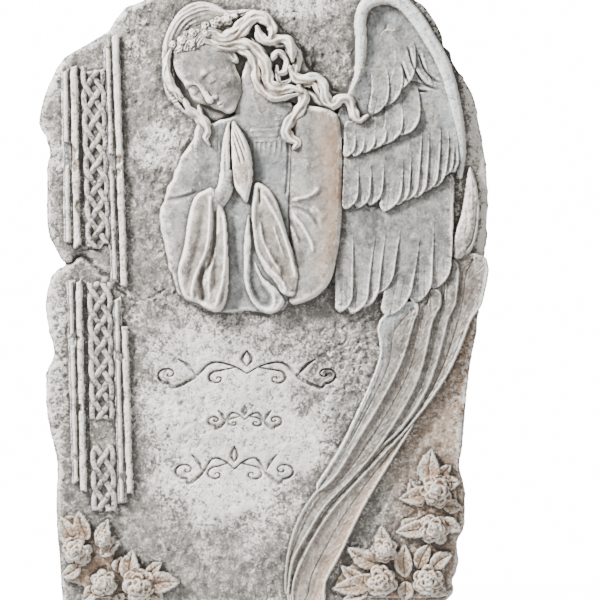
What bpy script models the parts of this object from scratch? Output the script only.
"""Cast resin memorial plaque: a praying angel and one long wing in relief on a broken stone slab.

Frame: metres, +Z up, the front faces -Y. The origin is the centre of the bounding box at the base.
The relief is laid out in millimetres (x across, z up) on a design grid of GRID_WIDTH by GRID_HEIGHT,
which is stretched to WIDTH by HEIGHT. Heights above the slab's face are in metres.
"""

import math

import bmesh
import bpy
from mathutils import Matrix, Vector

# Driving dimensions
WIDTH = 0.215
HEIGHT = 0.304
SLAB_THICKNESS = 0.018
SLAB_EDGE = 0.0014

# Relief layers, measured from the slab's face. BOND is the gap left behind every glued piece.
BOND = 0.0003
LOW_HEIGHT = 0.0042
MIDDLE_HEIGHT = 0.0040
HIGH_HEIGHT = 0.0037
LEAF_HEIGHT = 0.0030
RAIL_HEIGHT = 0.0034
KNOT_HEIGHT = 0.0026
FLIGHT_FEATHER_HEIGHT = 0.0030
COVERT_HEIGHT = 0.0016
WING_ARM_HEIGHT = 0.0105
ROSE_HEIGHT = 0.0088
EDGE_ROUNDING = 0.0006

# Hanging hardware, let into the back
HINGE_BELOW_TOP = 0.042
WIRE_RADIUS = 0.0010
EYE_CLEARANCE = 0.0004
STRAP_THICKNESS = 0.0012
STRAP_WIDTH = 0.012
RING_HALF_WIDTH = 0.010
RING_DROP = 0.013
RING_CORNER = 0.0025
POCKET_COVER = 0.0010
POCKET_CLEARANCE = 0.0035
SCREW_SHANK_RADIUS = 0.0016
SCREW_HEAD_RADIUS = 0.0031
SCREW_HEAD_HEIGHT = 0.0015
SCREW_LENGTH = 0.0075
SCREW_CLEARANCE = 0.0003
SCREW_SPACE = 0.0011
PAD_RADIUS = 0.006
PAD_THICKNESS = 0.0015
PAD_CENTRES = ((-62.0, 30.0), (58.0, 30.0))

GRID_WIDTH = 215.0
GRID_HEIGHT = 304.0
SCALE_X = WIDTH / GRID_WIDTH
SCALE_Z = HEIGHT / GRID_HEIGHT
SMALLER_SCALE = min(SCALE_X, SCALE_Z)

MIDDLE_BASE = LOW_HEIGHT + BOND
HIGH_BASE = MIDDLE_BASE + MIDDLE_HEIGHT + BOND
RELIEF_HEIGHT = HIGH_BASE + HIGH_HEIGHT + BOND
TOTAL_DEPTH = RELIEF_HEIGHT + SLAB_THICKNESS + BOND + PAD_THICKNESS
SLAB_FRONT = RELIEF_HEIGHT - TOTAL_DEPTH / 2
SLAB_BACK = SLAB_FRONT + SLAB_THICKNESS
EYE_BORE = WIRE_RADIUS + EYE_CLEARANCE
EYE_RADIUS = EYE_BORE + STRAP_THICKNESS
POCKET_DEPTH = BOND + 2 * EYE_RADIUS + POCKET_COVER
POCKET_FLOOR = SLAB_BACK - POCKET_DEPTH
HINGE_Y = POCKET_FLOOR + BOND + EYE_RADIUS
HINGE_Z = HEIGHT - HINGE_BELOW_TOP
UPPER_SCREW_DROP = RING_DROP + WIRE_RADIUS + SCREW_SPACE + SCREW_HEAD_RADIUS
LOWER_SCREW_DROP = UPPER_SCREW_DROP + 2 * SCREW_HEAD_RADIUS + SCREW_SPACE
SCREW_DROPS = (UPPER_SCREW_DROP, LOWER_SCREW_DROP)
STRAP_LENGTH = LOWER_SCREW_DROP + SCREW_HEAD_RADIUS + SCREW_SPACE

# Colours: linear RGB, roughness, metallic
STONE = (0.40, 0.40, 0.385)
PALE_STONE = (0.62, 0.61, 0.57)
FLOWER_TAN = (0.62, 0.55, 0.45)
STEEL = (0.55, 0.55, 0.53)
RUBBER = (0.03, 0.03, 0.03)

COLLECTION_NAME = "resin_angel_plaque"
CUTTER_COLLECTION_NAME = "cutters"

# --- Layout of the relief, in design millimetres ------------------------------------------------

SLAB_OUTLINE = (
    (-58, 290.4), (-66, 287), (-71.5, 281), (-75, 275.5), (-86, 269), (-96, 262.5), (-102.5, 251.5),
    (-106, 242), (-107.5, 232), (-104.5, 225.5), (-102.4, 217), (-103.7, 208), (-104, 190),
    (-103.5, 180.5), (-101, 174), (-98, 169), (-95.3, 164.6), (-96, 163), (-99, 161.5), (-102, 157),
    (-104.2, 149), (-104, 138), (-100.8, 124), (-101.2, 118.5), (-104, 112), (-104.4, 104),
    (-104, 95.5), (-100.8, 77), (-99, 68), (-99.2, 42), (-98, 23), (-96.4, 0), (84.6, 0), (90.7, 6),
    (90, 11), (93.3, 21), (93, 31), (96.3, 38.5), (96.3, 57), (94, 67), (95.6, 79), (97, 95.5),
    (98.4, 110), (102.5, 136), (104.8, 155), (107, 180.7), (107.5, 196), (106.6, 213), (103.4, 231),
    (102, 239.5), (99.3, 247.7), (91, 260.6), (89.6, 266), (86.4, 269), (85, 275.3), (78, 287),
    (72.6, 291), (62, 297), (50, 301), (30, 303.2), (8, 304), (-15, 303.5), (-35, 301), (-48, 296),
)

# Rails: (name, lower end, upper end, width)
RAILS = (
    ("outer_thin_rail_upper", (-93.5, 175.5), (-95.0, 256.0), 2.0),
    ("outer_thick_rail_upper", (-89.4, 172.5), (-91.0, 259.5), 3.4),
    ("inner_thin_rail_upper", (-71.2, 157.0), (-74.6, 267.5), 1.8),
    ("inner_thick_rail_upper", (-66.9, 153.5), (-71.0, 273.0), 3.4),
    ("outer_thin_rail_lower", (-89.8, 60.0), (-92.4, 156.0), 1.9),
    ("outer_thick_rail_lower", (-86.3, 55.5), (-88.6, 156.5), 3.0),
    ("inner_thin_rail_lower", (-67.9, 50.0), (-70.3, 147.0), 1.8),
    ("inner_thick_rail_lower", (-64.0, 54.0), (-66.6, 134.0), 3.2),
)

# Plaited knotwork: (name, centre of the lower end, centre of the upper end)
KNOT_BANDS = (
    ("knotwork_upper", (-78.9, 172.0), (-81.8, 258.5)),
    ("knotwork_lower", (-76.4, 46.5), (-78.6, 156.5)),
)
KNOT_WIDTH = 12.6
KNOT_REPEAT = 11.0
KNOT_HOLE = 1.9

# The leading edge of the wing, from the shoulder over the top to its tip, and its half widths
WING_ARM_PATH = (
    (42.5, 247.5), (46.0, 256.0), (46.8, 270.0), (46.4, 281.0), (49.5, 288.5), (57.0, 291.5),
    (65.0, 289.5), (73.0, 282.0), (80.0, 271.0), (86.5, 259.0), (90.5, 246.0), (93.3, 232.0),
    (94.8, 218.0), (94.2, 206.0),
)
WING_ARM_HALF_WIDTHS = (1.6, 2.6, 2.8, 2.9, 3.2, 3.4, 3.4, 3.2, 3.2, 3.1, 2.9, 2.7, 2.4, 1.2)

WING_CORE = (
    (39.0, 229.0), (46.0, 229.5), (52.0, 240.0), (51.5, 262.0), (51.0, 279.0), (57.0, 286.5),
    (64.0, 284.5), (71.0, 277.0), (78.0, 266.0), (84.0, 254.5), (87.4, 243.0), (90.2, 229.0),
    (91.4, 216.0), (90.8, 203.0), (90.0, 186.0), (88.4, 170.0), (83.5, 157.5), (38.6, 157.5),
    (38.2, 185.0),
)
LOWER_COVERTS = (
    (38.6, 192.5), (50.0, 193.0), (60.0, 192.0), (70.0, 197.5), (78.0, 201.5), (88.0, 206.0),
    (90.3, 198.0), (90.2, 184.0), (89.5, 170.0), (86.0, 158.0), (82.5, 151.5), (79.0, 147.5),
    (75.0, 145.0), (71.0, 146.5), (66.0, 141.0), (60.5, 138.0), (57.8, 144.0), (54.0, 149.5),
    (48.5, 144.0), (43.5, 141.0), (38.5, 140.8), (36.0, 147.0), (34.8, 152.5), (37.4, 162.0),
)
MIDDLE_COVERTS = (
    (38.8, 217.5), (50.0, 219.5), (60.0, 224.0), (66.0, 229.0), (73.5, 240.0), (86.5, 241.0),
    (89.8, 228.0), (90.8, 214.0), (88.0, 204.5), (82.5, 200.0), (77.0, 198.2), (73.0, 194.6),
    (66.5, 192.6), (60.0, 188.8), (55.5, 192.4), (48.0, 190.6), (42.0, 190.2), (38.4, 191.6),
)
UPPER_COVERTS = (
    (39.0, 229.0), (47.0, 229.2), (53.5, 234.0), (62.0, 240.0), (66.0, 247.0), (71.5, 247.0),
    (73.4, 240.0), (72.0, 232.0), (67.0, 225.4), (62.0, 223.0), (56.0, 219.8), (50.0, 216.8),
    (43.5, 215.2), (38.8, 215.0),
)
SHOULDER_FEATHERS = (
    (52.4, 242.0), (55.5, 236.6), (61.0, 241.2), (64.4, 248.6), (71.0, 249.4), (78.0, 247.0),
    (84.4, 247.0), (81.5, 257.0), (75.5, 266.5), (68.0, 272.0), (58.0, 272.0), (52.2, 262.0),
)
EDGE_FEATHER = (
    (98.6, 211.0), (96.6, 198.0), (94.6, 187.0), (91.6, 178.0), (90.6, 168.5), (93.5, 166.4),
    (99.0, 169.6), (102.2, 178.0), (103.4, 190.0), (102.0, 203.0),
)

# The lines that divide the flight feathers, each from its upper end down, inner edge first
FLIGHT_LINES = (
    ((56.0, 136.5), (56.6, 122.0), (52.5, 109.0), (46.0, 94.5), (37.5, 77.0), (30.5, 65.5), (26.0, 58.5)),
    ((72.0, 143.0), (70.0, 130.0), (65.0, 115.0), (55.5, 97.0), (45.0, 79.5), (35.5, 64.0), (28.0, 56.5)),
    ((82.4, 149.0), (79.6, 131.0), (74.6, 110.5), (65.5, 92.5), (53.5, 74.5), (42.0, 61.5), (30.0, 49.0),
     (22.0, 36.5), (14.0, 22.0), (11.8, 7.0)),
    ((90.6, 163.0), (89.6, 146.0), (85.0, 124.0), (78.0, 103.5), (66.5, 86.0), (56.0, 76.5)),
    ((104.4, 165.0), (103.0, 150.0), (98.5, 135.5), (90.5, 116.0), (81.0, 100.5), (69.0, 85.5), (56.5, 72.0),
     (43.0, 57.5), (31.0, 43.5), (21.0, 27.0), (14.6, 12.0), (13.8, 1.0)),
    ((70.0, 84.6), (61.0, 70.0), (47.5, 47.5), (36.6, 25.0), (29.6, 12.0), (28.0, 1.0)),
)
SECOND_FEATHER_TAIL = ((26.0, 55.5), (20.0, 47.5), (15.0, 37.0), (11.6, 24.0), (10.6, 12.0))

ROBE_CHEST = (
    (-22.5, 231.0), (-16.0, 233.0), (-9.0, 237.0), (0.0, 240.5), (9.0, 240.5), (13.6, 239.0),
    (13.2, 225.0), (12.2, 210.0), (11.2, 190.0), (12.0, 165.0), (11.0, 146.0), (3.0, 142.0),
    (-8.0, 143.0), (-18.0, 142.0), (-24.0, 146.0), (-24.5, 175.0), (-24.2, 205.0), (-23.8, 222.0),
)
RIGHT_UPPER_ARM = (
    (14.4, 239.4), (24.0, 239.2), (35.0, 235.4), (37.2, 222.0), (37.5, 200.0), (36.8, 182.0),
    (34.8, 168.0), (32.0, 157.0), (27.0, 150.5), (20.0, 146.6), (12.6, 146.5), (12.8, 165.0),
    (12.1, 190.0), (13.0, 210.0), (14.0, 225.0),
)
LEFT_UPPER_ARM = (
    (-25.0, 229.0), (-32.0, 225.5), (-38.0, 217.0), (-43.0, 206.0), (-47.0, 196.0), (-49.0, 188.0),
    (-48.2, 178.0), (-45.5, 167.0), (-43.0, 157.5), (-40.0, 149.8), (-34.0, 145.6), (-25.6, 145.2),
    (-25.4, 175.0), (-25.0, 205.0), (-24.6, 222.0),
)
LEFT_SLEEVE = (
    (-24.0, 200.0), (-28.0, 199.4), (-33.0, 196.0), (-36.0, 186.0), (-38.0, 172.0), (-41.0, 160.0),
    (-38.0, 148.0), (-32.0, 145.6), (-26.0, 142.0), (-20.5, 141.6), (-17.5, 148.0), (-16.6, 160.0),
    (-17.2, 175.0), (-18.4, 188.0),
)
RIGHT_SLEEVE = (
    (-3.8, 203.0), (-5.2, 196.0), (-5.6, 187.0), (-4.6, 178.0), (-3.4, 170.0), (1.0, 160.6),
    (6.0, 155.0), (9.0, 150.0), (14.0, 148.6), (16.4, 153.0), (16.8, 160.0), (15.0, 168.0),
    (12.0, 176.0), (9.0, 186.0), (6.0, 195.0), (1.6, 201.0),
)
RIGHT_CUFF_LOOP = (
    (-7.0, 188.0), (-9.0, 178.0), (-9.6, 165.0), (-9.0, 155.0), (-6.0, 147.0), (-1.5, 141.6),
    (4.0, 140.4), (8.6, 143.0), (10.0, 147.0), (6.8, 151.4), (3.0, 155.0), (-1.0, 159.0),
    (-4.6, 168.0), (-6.2, 178.0),
)
NEAR_HAND = (
    (-14.6, 232.6), (-11.4, 229.0), (-8.4, 224.0), (-6.2, 218.0), (-5.2, 211.0), (-5.2, 204.6),
    (-6.6, 198.0), (-8.0, 193.5), (-11.0, 197.0), (-13.6, 201.0), (-14.6, 208.0), (-15.0, 216.0),
    (-15.4, 224.0),
)
FAR_HAND = (
    (-16.2, 232.4), (-18.6, 227.0), (-20.0, 218.0), (-20.6, 208.0), (-19.6, 203.4), (-16.4, 203.0),
    (-16.0, 212.0), (-16.2, 222.0),
)
NECK = (
    (-8.6, 243.6), (-5.2, 245.4), (-2.0, 243.2), (1.6, 240.6), (1.6, 232.4), (-4.6, 231.4), (-8.6, 234.4),
)
COLLAR = (
    (-6.0, 229.6), (1.6, 229.8), (4.8, 232.2), (6.6, 236.6), (8.6, 235.6), (7.4, 229.6), (5.6, 223.0),
    (-4.2, 222.8),
)

HAIR_CROWN = (
    (-47.0, 246.5), (-48.5, 258.0), (-48.3, 269.0), (-45.5, 277.5), (-41.5, 284.0), (-36.5, 288.4),
    (-30.0, 290.0), (-23.5, 288.8), (-17.0, 285.6), (-9.0, 286.4), (-1.0, 285.6), (5.5, 281.5),
    (9.5, 275.5), (16.5, 271.0), (19.0, 263.0), (22.0, 257.2), (29.0, 254.8), (33.0, 247.5),
    (40.0, 246.0), (43.4, 240.5), (43.0, 236.8), (36.0, 238.0), (23.0, 241.0), (9.0, 242.4),
    (0.0, 242.4), (-9.6, 238.8), (-17.0, 234.8), (-24.0, 232.6), (-33.0, 233.4), (-41.0, 239.0),
)
HEAD_CENTRE = (-25.0, 252.5)
HEAD_HALF_LENGTH = 18.0
HEAD_HALF_WIDTH = 14.0
HEAD_ROLL = math.radians(38.0)
WREATH_PATH = ((-44.0, 267.5), (-39.0, 272.5), (-32.0, 276.5), (-25.0, 279.4), (-18.0, 281.4))
WREATH_RADIUS = 3.1

# Locks of hair: (name, radius, path)
HAIR_LOCKS = (
    ("hair_wave", 2.6, ((-13, 276), (-8, 281), (-2, 282.5), (3, 278.5), (1.5, 271.5), (7, 271.5),
                        (12, 268), (13, 263), (8, 260.5))),
    ("hair_sweep", 2.5, ((-19, 272.5), (-13, 268), (-7, 266), (-3.5, 259), (-1.5, 251.5), (5, 247.2),
                         (12, 247.4), (17.5, 244.5), (17, 238.5), (13, 233), (12, 227), (15.5, 220))),
    ("shoulder_curl", 2.4, ((13.5, 254.5), (21, 254), (27, 249), (30.5, 241.5), (36, 242.5), (42, 240.5),
                            (45, 234.6), (50, 234.8))),
    ("temple_lock", 1.9, ((-46.2, 262), (-46.4, 254), (-43.5, 247), (-39.5, 243))),
    ("chin_lock", 1.8, ((-37, 238.5), (-32.5, 234.6), (-26.8, 230.4), (-25, 226.5), (-26.2, 221))),
)

# Roses: (name, centre, radius)
ROSES = (
    ("right_rose_top", (83.0, 55.0), 7.8),
    ("right_rose_middle", (81.5, 37.0), 7.2),
    ("right_rose_inner", (58.0, 27.2), 6.0),
    ("right_rose_base", (56.5, 12.0), 7.6),
    ("right_rose_outer", (79.0, 12.0), 7.4),
    ("left_rose_outer", (-89.0, 26.5), 7.0),
    ("left_rosebud", (-76.6, 32.0), 4.6),
    ("left_rose_base", (-76.6, 11.0), 6.4),
    ("left_rose_inner", (-60.0, 9.6), 7.8),
)

# Foliage: a spray of leaves behind each cluster of roses, its points the leaf tips
RIGHT_UPPER_FOLIAGE = (
    (80.6, 74.5), (86.0, 68.0), (90.0, 60.5), (94.0, 58.0), (95.0, 50.0), (94.6, 40.0), (92.0, 34.5),
    (84.0, 31.8), (74.0, 31.4), (68.0, 30.8), (63.2, 33.5), (63.4, 38.0), (65.5, 43.5), (72.0, 44.6),
    (69.0, 46.5), (65.2, 51.6), (70.0, 56.5), (72.5, 61.0), (75.5, 68.5),
)
RIGHT_LOWER_FOLIAGE = (
    (56.8, 38.4), (61.0, 32.0), (66.0, 28.6), (73.0, 29.6), (80.0, 30.4), (87.0, 28.0), (92.0, 24.6),
    (89.0, 18.5), (89.0, 12.0), (87.6, 4.0), (80.0, 2.0), (50.0, 2.0), (36.0, 4.0), (32.5, 9.5),
    (34.0, 15.0), (38.0, 20.0), (41.5, 22.5), (40.6, 27.6), (47.0, 29.0), (50.5, 30.0), (52.5, 34.5),
)
LEFT_FOLIAGE = (
    (-98.0, 40.0), (-97.0, 44.5), (-92.0, 46.0), (-87.0, 44.6), (-84.5, 38.0), (-80.0, 39.5),
    (-75.5, 41.5), (-73.0, 36.5), (-68.6, 31.0), (-69.5, 24.0), (-69.0, 20.0), (-66.5, 24.5),
    (-63.0, 26.4), (-58.5, 22.5), (-54.0, 17.0), (-50.0, 19.5), (-44.0, 15.5), (-40.2, 11.6),
    (-43.0, 7.5), (-49.0, 4.5), (-56.0, 2.0), (-84.0, 2.0), (-88.0, 8.0), (-96.4, 10.5),
    (-97.0, 16.5), (-94.0, 20.0), (-97.0, 27.0), (-97.6, 33.0),
)
FOLIAGE = (
    ("right_foliage_upper", RIGHT_UPPER_FOLIAGE),
    ("right_foliage_lower", RIGHT_LOWER_FOLIAGE),
    ("left_foliage", LEFT_FOLIAGE),
)


# --- Scene, materials and layout helpers --------------------------------------------------------

def clear_scene():
    for obj in list(bpy.data.objects):
        bpy.data.objects.remove(obj, do_unlink=True)


def new_collection(name):
    collection = bpy.data.collections.new(name)
    bpy.context.scene.collection.children.link(collection)
    return collection


def new_material(name, colour, roughness=0.85, metallic=0.0):
    material = bpy.data.materials.new(name)
    material.use_nodes = True
    shader = material.node_tree.nodes["Principled BSDF"]
    shader.inputs["Base Color"].default_value = (*colour, 1.0)
    shader.inputs["Roughness"].default_value = roughness
    shader.inputs["Metallic"].default_value = metallic
    return material


def on_grid(point):
    """A design point as (x, z) in metres."""
    return point[0] * SCALE_X, point[1] * SCALE_Z


def add_object(name, data, collection, material=None):
    obj = bpy.data.objects.new(name, data)
    collection.objects.link(obj)
    if material is not None:
        data.materials.append(material)
    return obj


def through(points, steps):
    """Points of an open Catmull-Rom curve through the given ones, `steps` to each span."""
    last = len(points) - 1
    found = []
    for i in range(last):
        before, start, end, after = [Vector(points[min(max(i + k, 0), last)]) for k in (-1, 0, 1, 2)]
        for step in range(steps):
            t = step / steps
            found.append(0.5 * (
                2 * start
                + (end - before) * t
                + (2 * before - 5 * start + 4 * end - after) * t ** 2
                + (3 * start - before - 3 * end + after) * t ** 3
            ))
    found.append(Vector(points[-1]))
    return found


def ribbon(path, half_widths):
    """The outline of a strip along a path, with its half width at each point."""
    left, right = [], []
    for i, point in enumerate(path):
        ahead = Vector(path[min(i + 1, len(path) - 1)]) - Vector(path[max(i - 1, 0)])
        side = Vector((-ahead.y, ahead.x)).normalized() * half_widths[i]
        left.append(Vector(point) + side)
        right.append(Vector(point) - side)
    return left + right[::-1]


# --- Builders ------------------------------------------------------------------------------------

def flat_curve(name, outlines, thickness, rounding):
    """A filled 2D curve: the first outline, less the others inside it. Points are in metres."""
    curve = bpy.data.curves.new(name, "CURVE")
    curve.dimensions = "2D"
    curve.fill_mode = "BOTH"
    curve.extrude = thickness / 2 - rounding
    curve.bevel_depth = rounding
    curve.bevel_resolution = 0
    curve.offset = -rounding
    for outline in outlines:
        spline = curve.splines.new("POLY")
        spline.points.add(len(outline) - 1)
        for target, point in zip(spline.points, outline):
            target.co = (point[0], point[1], 0.0, 1.0)
        spline.use_cyclic_u = True
    return curve


def plate(name, outlines, base, thickness, collection, material, rounding=EDGE_ROUNDING):
    """A flat relief piece on the slab's face. Its outlines are in design millimetres."""
    scaled = [[on_grid(point) for point in outline] for outline in outlines]
    obj = add_object(name, flat_curve(name, scaled, thickness, rounding), collection, material)
    obj.rotation_euler = (math.pi / 2, 0.0, 0.0)
    obj.location.y = SLAB_FRONT - BOND - base - thickness / 2
    return obj


def as_mesh(obj, collection):
    """Replaces a curve object with the mesh it evaluates to, with its caps welded."""
    bpy.context.view_layer.update()
    evaluated = obj.evaluated_get(bpy.context.evaluated_depsgraph_get())
    mesh = bpy.data.meshes.new_from_object(evaluated)
    welded = bmesh.new()
    welded.from_mesh(mesh)
    bmesh.ops.remove_doubles(welded, verts=welded.verts, dist=1e-6)
    bmesh.ops.recalc_face_normals(welded, faces=welded.faces)
    welded.to_mesh(mesh)
    welded.free()
    name = obj.name
    matrix = obj.matrix_world.copy()
    bpy.data.objects.remove(obj, do_unlink=True)
    made = bpy.data.objects.new(name, mesh)
    made.matrix_world = matrix
    collection.objects.link(made)
    return made


def tube(name, path, radius, height, collection, material, radii=None):
    """A round cord-like piece: its centreline runs through design points at a height above the face."""
    curve = bpy.data.curves.new(name, "CURVE")
    curve.dimensions = "3D"
    curve.bevel_depth = radius
    curve.bevel_resolution = 2
    curve.use_fill_caps = True
    spline = curve.splines.new("POLY")
    spline.points.add(len(path) - 1)
    for i, point in enumerate(path):
        x, z = on_grid(point)
        spline.points[i].co = (x, SLAB_FRONT - height, z, 1.0)
        spline.points[i].radius = radii[i] if radii else 1.0
    spline.use_smooth = True
    return add_object(name, curve, collection, material)


def turned(name, profile, segments, collection, material=None):
    """A shape turned about its own Z axis from (radius, height) points, top to bottom."""
    mesh = bpy.data.meshes.new(name)
    edges = [(i, i + 1) for i in range(len(profile) - 1)]
    mesh.from_pydata([(radius, 0.0, height) for radius, height in profile], edges, [])
    obj = add_object(name, mesh, collection, material)
    screw = obj.modifiers.new("Turn", "SCREW")
    screw.steps = segments
    screw.render_steps = segments
    screw.use_merge_vertices = True
    screw.merge_threshold = 1e-6
    screw.use_smooth_shade = True
    return obj


def cut(obj, cutter, name):
    boolean = obj.modifiers.new(name, "BOOLEAN")
    boolean.operation = "DIFFERENCE"
    boolean.solver = "EXACT"
    boolean.object = cutter


def hide_cutter(cutter):
    cutter.hide_render = True
    cutter.display_type = "WIRE"


# --- Slab and its back -----------------------------------------------------------------------------

def rounded_rectangle(low, high, radius, steps=3):
    corners = (
        (high[0] - radius, high[1] - radius, 0),
        (low[0] + radius, high[1] - radius, 90),
        (low[0] + radius, low[1] + radius, 180),
        (high[0] - radius, low[1] + radius, 270),
    )
    return [
        (x + radius * math.cos(math.radians(start + 90 * i / steps)),
         z + radius * math.sin(math.radians(start + 90 * i / steps)))
        for x, z, start in corners
        for i in range(steps + 1)
    ]


def hanger_pocket(cutters):
    """The recess for the hanger, open at the slab's back."""
    half_width = RING_HALF_WIDTH + WIRE_RADIUS + POCKET_CLEARANCE
    reach_up = RING_DROP + WIRE_RADIUS + POCKET_CLEARANCE
    reach_down = STRAP_LENGTH + POCKET_CLEARANCE
    outline = rounded_rectangle(
        (-half_width, HINGE_Z - reach_down), (half_width, HINGE_Z + reach_up), POCKET_CLEARANCE
    )
    overshoot = POCKET_DEPTH
    depth = POCKET_DEPTH + overshoot
    curve = add_object("pocket_cutter", flat_curve("pocket_cutter", [outline], depth, 0.0), cutters)
    curve.rotation_euler = (math.pi / 2, 0.0, 0.0)
    curve.location.y = POCKET_FLOOR + depth / 2
    cutter = as_mesh(curve, cutters)
    hide_cutter(cutter)
    return cutter


def screw_hole(name, drop, cutters):
    """A pilot hole through the strap and on into the slab."""
    radius = SCREW_SHANK_RADIUS + SCREW_CLEARANCE
    length = SCREW_LENGTH + 2 * SCREW_CLEARANCE + SCREW_HEAD_HEIGHT
    bpy.ops.mesh.primitive_cylinder_add(vertices=16, radius=radius, depth=length)
    cutter = bpy.context.object
    cutter.name = name
    for collection in list(cutter.users_collection):
        collection.objects.unlink(cutter)
    cutters.objects.link(cutter)
    top = POCKET_FLOOR + 2 * BOND + STRAP_THICKNESS + SCREW_HEAD_HEIGHT
    cutter.rotation_euler = (math.pi / 2, 0.0, 0.0)
    cutter.location = (0.0, top - length / 2, HINGE_Z - drop)
    hide_cutter(cutter)
    return cutter


def backing_slab(parts, cutters, holes, material):
    slab = as_mesh(
        plate("backing_slab", [SLAB_OUTLINE], 0.0, SLAB_THICKNESS, parts, material, SLAB_EDGE), parts
    )
    slab.location.y = SLAB_FRONT + SLAB_THICKNESS / 2
    cut(slab, hanger_pocket(cutters), "Hanger pocket")
    for i, hole in enumerate(holes):
        cut(slab, hole, f"Pilot hole {i + 1}")


# --- Border ------------------------------------------------------------------------------------------

def rails(parts, material):
    for name, low, high, width in RAILS:
        plate(name, [ribbon([low, high], [width / 2] * 2)], 0.0, RAIL_HEIGHT, parts, material)


def diamond(centre, half_width, half_height):
    x, z = centre
    return [(x - half_width, z), (x, z + half_height), (x + half_width, z), (x, z - half_height)]


def knotwork(parts, material):
    """Each band is a plait: a scalloped strip with three columns of openings between its strands."""
    for name, low, high in KNOT_BANDS:
        start, end = Vector(low), Vector(high)
        along = (end - start).normalized()
        across = Vector((along.y, -along.x))
        repeats = int((end - start).length / KNOT_REPEAT)
        pitch = (end - start).length / repeats

        def place(side, distance):
            return start + across * side + along * distance

        edge = KNOT_WIDTH / 2
        scallop = KNOT_HOLE / 2
        right = [place(edge - scallop * (i % 2), i * pitch / 2) for i in range(2 * repeats + 1)]
        left = [place(-edge + scallop * (i % 2), i * pitch / 2) for i in range(2 * repeats + 1)]
        holes = []
        for i in range(repeats):
            middle = (i + 0.5) * pitch
            holes.append(diamond(place(0.0, middle), KNOT_HOLE, pitch / 5))
            if i > 0:
                for side in (-edge / 2, edge / 2):
                    holes.append(diamond(place(side, i * pitch), KNOT_HOLE / 2, pitch / 6))
        plate(name, [right + left[::-1], *holes], 0.0, KNOT_HEIGHT, parts, material, 0.0)


# --- Wing --------------------------------------------------------------------------------------------

def wing_arm(parts, material):
    outline = ribbon(WING_ARM_PATH, WING_ARM_HALF_WIDTHS)
    plate("wing_leading_edge", [outline], 0.0, WING_ARM_HEIGHT, parts, material)


def covert_rows(parts, material):
    """The core, then the rows of short feathers, each row stepping up over the one below it."""
    plate("wing_core", [WING_CORE], 0.0, FLIGHT_FEATHER_HEIGHT, parts, material)
    step = COVERT_HEIGHT + BOND
    first = FLIGHT_FEATHER_HEIGHT + BOND
    rows = (
        ("lower_coverts", LOWER_COVERTS, 0),
        ("middle_coverts", MIDDLE_COVERTS, 1),
        ("upper_coverts", UPPER_COVERTS, 2),
        ("shoulder_feathers", SHOULDER_FEATHERS, 0),
    )
    for name, outline, level in rows:
        plate(name, [outline], first + level * step, COVERT_HEIGHT, parts, material, COVERT_HEIGHT / 4)
    plate("edge_feather", [EDGE_FEATHER], 0.0, FLIGHT_FEATHER_HEIGHT + step, parts, material)


def shifted(line, distance):
    return [(x + distance, z) for x, z in line]


def between(left, right, gap=0.7):
    """A feather's outline between two dividing lines, with half the gap left on each side."""
    return shifted(left, gap / 2) + shifted(right, -gap / 2)[::-1]


def flight_feathers(parts, material):
    inner, second, third, fourth, rim, foot = FLIGHT_LINES
    long_feather_end = third[5:]
    outlines = (
        ("flight_feather_1", between(inner, second)),
        ("flight_feather_2", between(list(second) + list(SECOND_FEATHER_TAIL), third)),
        ("flight_feather_3", between(third[:5], fourth)),
        ("flight_feather_4", between(list(fourth) + list(long_feather_end), rim)),
        ("flight_feather_5", between(list(rim[5:]), foot)),
    )
    for name, outline in outlines:
        plate(name, [outline], 0.0, FLIGHT_FEATHER_HEIGHT, parts, material, EDGE_ROUNDING / 2)


# --- Angel -------------------------------------------------------------------------------------------

def robe(parts, material):
    plate("robe_chest", [ROBE_CHEST], 0.0, LOW_HEIGHT, parts, material)
    plate("right_upper_arm", [RIGHT_UPPER_ARM], 0.0, LOW_HEIGHT, parts, material)
    plate("left_upper_arm", [LEFT_UPPER_ARM], 0.0, LOW_HEIGHT, parts, material)
    plate("left_sleeve", [LEFT_SLEEVE], MIDDLE_BASE, MIDDLE_HEIGHT, parts, material)
    plate("right_sleeve", [RIGHT_SLEEVE], MIDDLE_BASE, MIDDLE_HEIGHT, parts, material)
    plate("right_cuff_loop", [RIGHT_CUFF_LOOP], MIDDLE_BASE, MIDDLE_HEIGHT * 0.7, parts, material)
    plate("collar", [COLLAR], MIDDLE_BASE, MIDDLE_HEIGHT / 2, parts, material)


def hands(parts, material):
    reach = MIDDLE_HEIGHT + BOND + HIGH_HEIGHT * 0.6
    plate("near_hand", [NEAR_HAND], MIDDLE_BASE, reach, parts, material)
    plate("far_hand", [FAR_HAND], MIDDLE_BASE, MIDDLE_HEIGHT, parts, material)
    plate("neck", [NECK], MIDDLE_BASE, MIDDLE_HEIGHT, parts, material)


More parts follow.
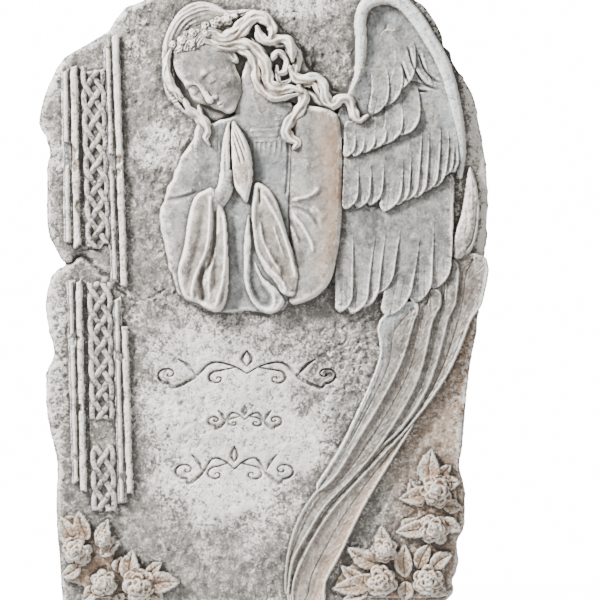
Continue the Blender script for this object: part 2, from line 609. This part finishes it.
def head(parts, material):
    """Half an egg, its long axis from the chin to the crown, laid on the mass of hair behind it."""
    height = RELIEF_HEIGHT - MIDDLE_BASE - BOND
    mesh = bpy.data.meshes.new("head")
    body = bmesh.new()
    bmesh.ops.create_uvsphere(body, u_segments=20, v_segments=12, radius=1.0)
    bmesh.ops.scale(body, verts=body.verts, vec=(HEAD_HALF_WIDTH, height, HEAD_HALF_LENGTH))
    bmesh.ops.bisect_plane(
        body, geom=body.verts[:] + body.edges[:] + body.faces[:],
        plane_co=(0.0, 0.0, 0.0), plane_no=(0.0, 1.0, 0.0), clear_outer=True,
    )
    bmesh.ops.holes_fill(body, edges=[edge for edge in body.edges if edge.is_boundary])
    bmesh.ops.rotate(body, verts=body.verts, matrix=Matrix.Rotation(-HEAD_ROLL, 3, "Y"))
    bmesh.ops.scale(body, verts=body.verts, vec=(SCALE_X, 1.0, SCALE_Z))
    bmesh.ops.recalc_face_normals(body, faces=body.faces)
    body.to_mesh(mesh)
    body.free()
    mesh.shade_smooth()
    mesh.set_sharp_from_angle(angle=math.radians(60))
    obj = add_object("head", mesh, parts, material)
    x, z = on_grid(HEAD_CENTRE)
    obj.location = (x, SLAB_FRONT - MIDDLE_BASE - BOND, z)


def hair(parts, material):
    plate("hair_crown", [HAIR_CROWN], 0.0, LOW_HEIGHT, parts, material)
    for name, radius, points in HAIR_LOCKS:
        path = through(points, steps=2)
        radius_m = radius * SMALLER_SCALE
        radii = [1.0] * len(path)
        radii[0] = 0.6
        radii[-1] = 0.5
        height = MIDDLE_BASE + 2 * BOND + radius_m
        tube(name, path, radius_m, height, parts, material, radii)


def wreath(parts, material):
    """A garland: a cord that swells at each small flower."""
    path = through(WREATH_PATH, steps=4)
    radii = [1.0 if i % 2 == 0 else 0.72 for i in range(len(path))]
    radius_m = WREATH_RADIUS * SMALLER_SCALE
    tube("flower_wreath", path, radius_m, MIDDLE_BASE + 2 * BOND + radius_m, parts, material, radii)


# --- Flowers -----------------------------------------------------------------------------------------

def rose_profile(radius, height):
    """A bud in the middle, an inner ring of petals round it and an outer ring below."""
    shares = ((0.0, 1.0), (0.22, 0.97), (0.36, 0.78), (0.58, 0.80), (0.72, 0.52), (0.90, 0.50), (1.0, 0.18))
    return [(radius * r, height * h) for r, h in shares] + [(radius * 0.9, 0.0), (0.0, 0.0)]


def roses(parts, material):
    base = LEAF_HEIGHT + 2 * BOND
    for name, centre, radius in ROSES:
        profile = rose_profile(radius * SMALLER_SCALE, ROSE_HEIGHT)
        obj = turned(name, profile, 14, parts, material)
        x, z = on_grid(centre)
        obj.rotation_euler = (math.pi / 2, 0.0, 0.0)
        obj.location = (x, SLAB_FRONT - base, z)


def foliage(parts, material):
    for name, outline in FOLIAGE:
        plate(name, [outline], 0.0, LEAF_HEIGHT, parts, material, 0.0)


# --- Hanging hardware ----------------------------------------------------------------------------------

def strap_profile():
    """The strap edge on: a flat tongue whose top is rolled into an eye round the hinge axis."""
    tongue_face = STRAP_THICKNESS - EYE_RADIUS
    meet = -math.degrees(math.acos(tongue_face / EYE_RADIUS))
    steps = 14
    eye = [
        (EYE_RADIUS * math.cos(math.radians(angle)), EYE_RADIUS * math.sin(math.radians(angle)))
        for angle in (180.0 + (meet - 180.0) * i / steps for i in range(steps + 1))
    ]
    bore = [
        (EYE_BORE * math.cos(2 * math.pi * i / 16), EYE_BORE * math.sin(2 * math.pi * i / 16))
        for i in range(16)
    ]
    return [(-EYE_RADIUS, -STRAP_LENGTH), *eye, (tongue_face, -STRAP_LENGTH)], bore


def strap_hanger(parts, holes, material):
    outline, bore = strap_profile()
    curve = add_object("strap_hanger", flat_curve("strap_hanger", [outline, bore], STRAP_WIDTH, 0.0), parts)
    curve.rotation_euler = (math.pi / 2, 0.0, math.pi / 2)
    curve.location = (0.0, HINGE_Y, HINGE_Z)
    strap = as_mesh(curve, parts)
    strap.data.materials.append(material)
    for i, hole in enumerate(holes):
        cut(strap, hole, f"Screw hole {i + 1}")


def ring_points():
    """The D in its own plane: a straight bar along the hinge axis, two corners and a bow below it."""
    bar = RING_HALF_WIDTH - RING_CORNER
    bow_depth = RING_DROP - RING_CORNER
    turns = [math.radians(angle) for angle in (0, 30, 60, 90)]
    right_corner = [
        (bar + RING_CORNER * math.sin(turn), RING_CORNER * (math.cos(turn) - 1.0)) for turn in turns
    ]
    sweeps = [math.pi * i / 12 for i in range(1, 12)]
    bow = [
        (RING_HALF_WIDTH * math.cos(sweep), -RING_CORNER - bow_depth * math.sin(sweep))
        for sweep in sweeps
    ]
    left_corner = [(-x, z) for x, z in reversed(right_corner)]
    return right_corner + bow + left_corner


def d_ring(parts, material):
    """The wire ring, hanging down from the hinge axis, where its origin is."""
    points = ring_points()
    curve = bpy.data.curves.new("d_ring", "CURVE")
    curve.dimensions = "3D"
    curve.bevel_depth = WIRE_RADIUS
    curve.bevel_resolution = 2
    spline = curve.splines.new("POLY")
    spline.points.add(len(points) - 1)
    for target, (x, z) in zip(spline.points, points):
        target.co = (x, 0.0, z, 1.0)
    spline.use_cyclic_u = True
    spline.use_smooth = True
    ring = add_object("d_ring", curve, parts, material)
    ring.location = (0.0, HINGE_Y, HINGE_Z)


def screws(parts, material):
    seat = POCKET_FLOOR + 2 * BOND + STRAP_THICKNESS
    for name, drop in zip(("hanger_screw_upper", "hanger_screw_lower"), SCREW_DROPS):
        profile = [
            (0.0, SCREW_HEAD_HEIGHT),
            (SCREW_HEAD_RADIUS * 0.6, SCREW_HEAD_HEIGHT * 0.9),
            (SCREW_HEAD_RADIUS, SCREW_HEAD_HEIGHT * 0.4),
            (SCREW_HEAD_RADIUS, 0.0),
            (SCREW_SHANK_RADIUS, 0.0),
            (SCREW_SHANK_RADIUS, SCREW_SHANK_RADIUS - SCREW_LENGTH),
            (0.0, -SCREW_LENGTH),
        ]
        screw = turned(name, profile, 16, parts, material)
        screw.rotation_euler = (-math.pi / 2, 0.0, 0.0)
        screw.location = (0.0, seat + BOND, HINGE_Z - drop)


def bumper_pads(parts, material):
    for name, centre in zip(("bumper_pad_left", "bumper_pad_right"), PAD_CENTRES):
        profile = [
            (0.0, PAD_THICKNESS),
            (PAD_RADIUS * 0.85, PAD_THICKNESS),
            (PAD_RADIUS, PAD_THICKNESS * 0.6),
            (PAD_RADIUS, 0.0),
            (0.0, 0.0),
        ]
        pad = turned(name, profile, 24, parts, material)
        x, z = on_grid(centre)
        pad.rotation_euler = (-math.pi / 2, 0.0, 0.0)
        pad.location = (x, SLAB_BACK + BOND, z)


def main():
    clear_scene()
    parts = new_collection(COLLECTION_NAME)
    cutters = new_collection(CUTTER_COLLECTION_NAME)
    stone = new_material("stone", STONE)
    pale = new_material("pale_stone", PALE_STONE)
    tan = new_material("flower_tan", FLOWER_TAN)
    steel = new_material("zinc_plated_steel", STEEL, roughness=0.35, metallic=1.0)
    rubber = new_material("rubber", RUBBER, roughness=0.7)
    holes = [screw_hole(f"screw_hole_{i + 1}", drop, cutters) for i, drop in enumerate(SCREW_DROPS)]

    backing_slab(parts, cutters, holes, stone)
    rails(parts, pale)
    knotwork(parts, stone)
    wing_arm(parts, pale)
    covert_rows(parts, stone)
    flight_feathers(parts, stone)
    robe(parts, pale)
    hands(parts, pale)
    head(parts, pale)
    hair(parts, pale)
    wreath(parts, pale)
    roses(parts, tan)
    foliage(parts, tan)
    strap_hanger(parts, holes, steel)
    d_ring(parts, steel)
    screws(parts, steel)
    bumper_pads(parts, rubber)


main()
